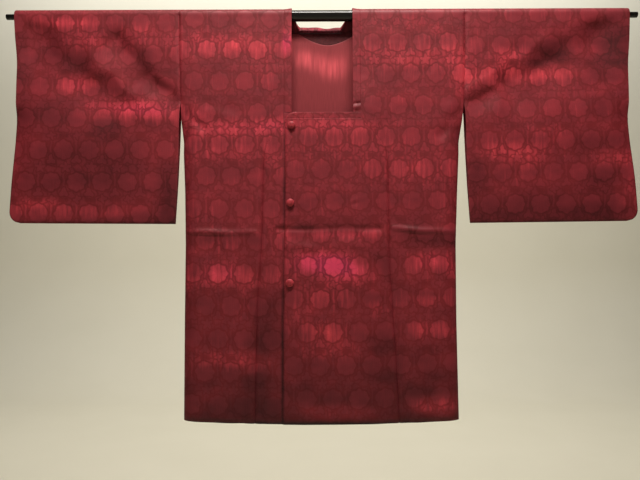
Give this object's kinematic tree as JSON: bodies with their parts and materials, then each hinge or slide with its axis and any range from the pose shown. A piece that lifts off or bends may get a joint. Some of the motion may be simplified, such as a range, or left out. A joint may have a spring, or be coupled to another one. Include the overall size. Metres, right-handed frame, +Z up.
{
  "type": "kimono coat on a display rod",
  "caption": "Michiyuki kimono coat with a square banded neck and a lapped, buttoned front, hanging by its sleeves on a display rod.",
  "frame": {"origin": "on the rod's axis, at the middle of the neck, where the rod holds the coat up", "axes": "+Z up, -Y out of the coat's front, +X towards the wearer's left along the rod"},
  "size_m": [1.346, 0.0428, 0.8713],
  "materials": {
    "figured_silk": "self-patterned satin-weave silk, crimson",
    "satin_lining": "smooth satin, coral red",
    "covered_button": "button covered in the coat's silk",
    "black_lacquer": "gloss black enamel"
  },
  "bodies": {
    "root": {"rod": "black_lacquer", "back_left": "figured_silk", "back_right": "figured_silk", "front_left": "figured_silk", "front_right": "figured_silk", "front_band_over": "figured_silk", "front_band_under": "figured_silk", "sleeve_left_front": "figured_silk", "sleeve_left_back": "figured_silk", "sleeve_right_front": "figured_silk", "sleeve_right_back": "figured_silk", "neck_frame_left": "figured_silk", "neck_frame_right": "figured_silk", "neck_frame_over": "figured_silk", "neck_frame_under": "figured_silk", "neck_frame_back": "figured_silk", "neck_facing": "figured_silk", "yoke_lining": "satin_lining", "button_top": "covered_button", "button_middle": "covered_button", "button_lower": "covered_button"}
  },
  "joints": []
}
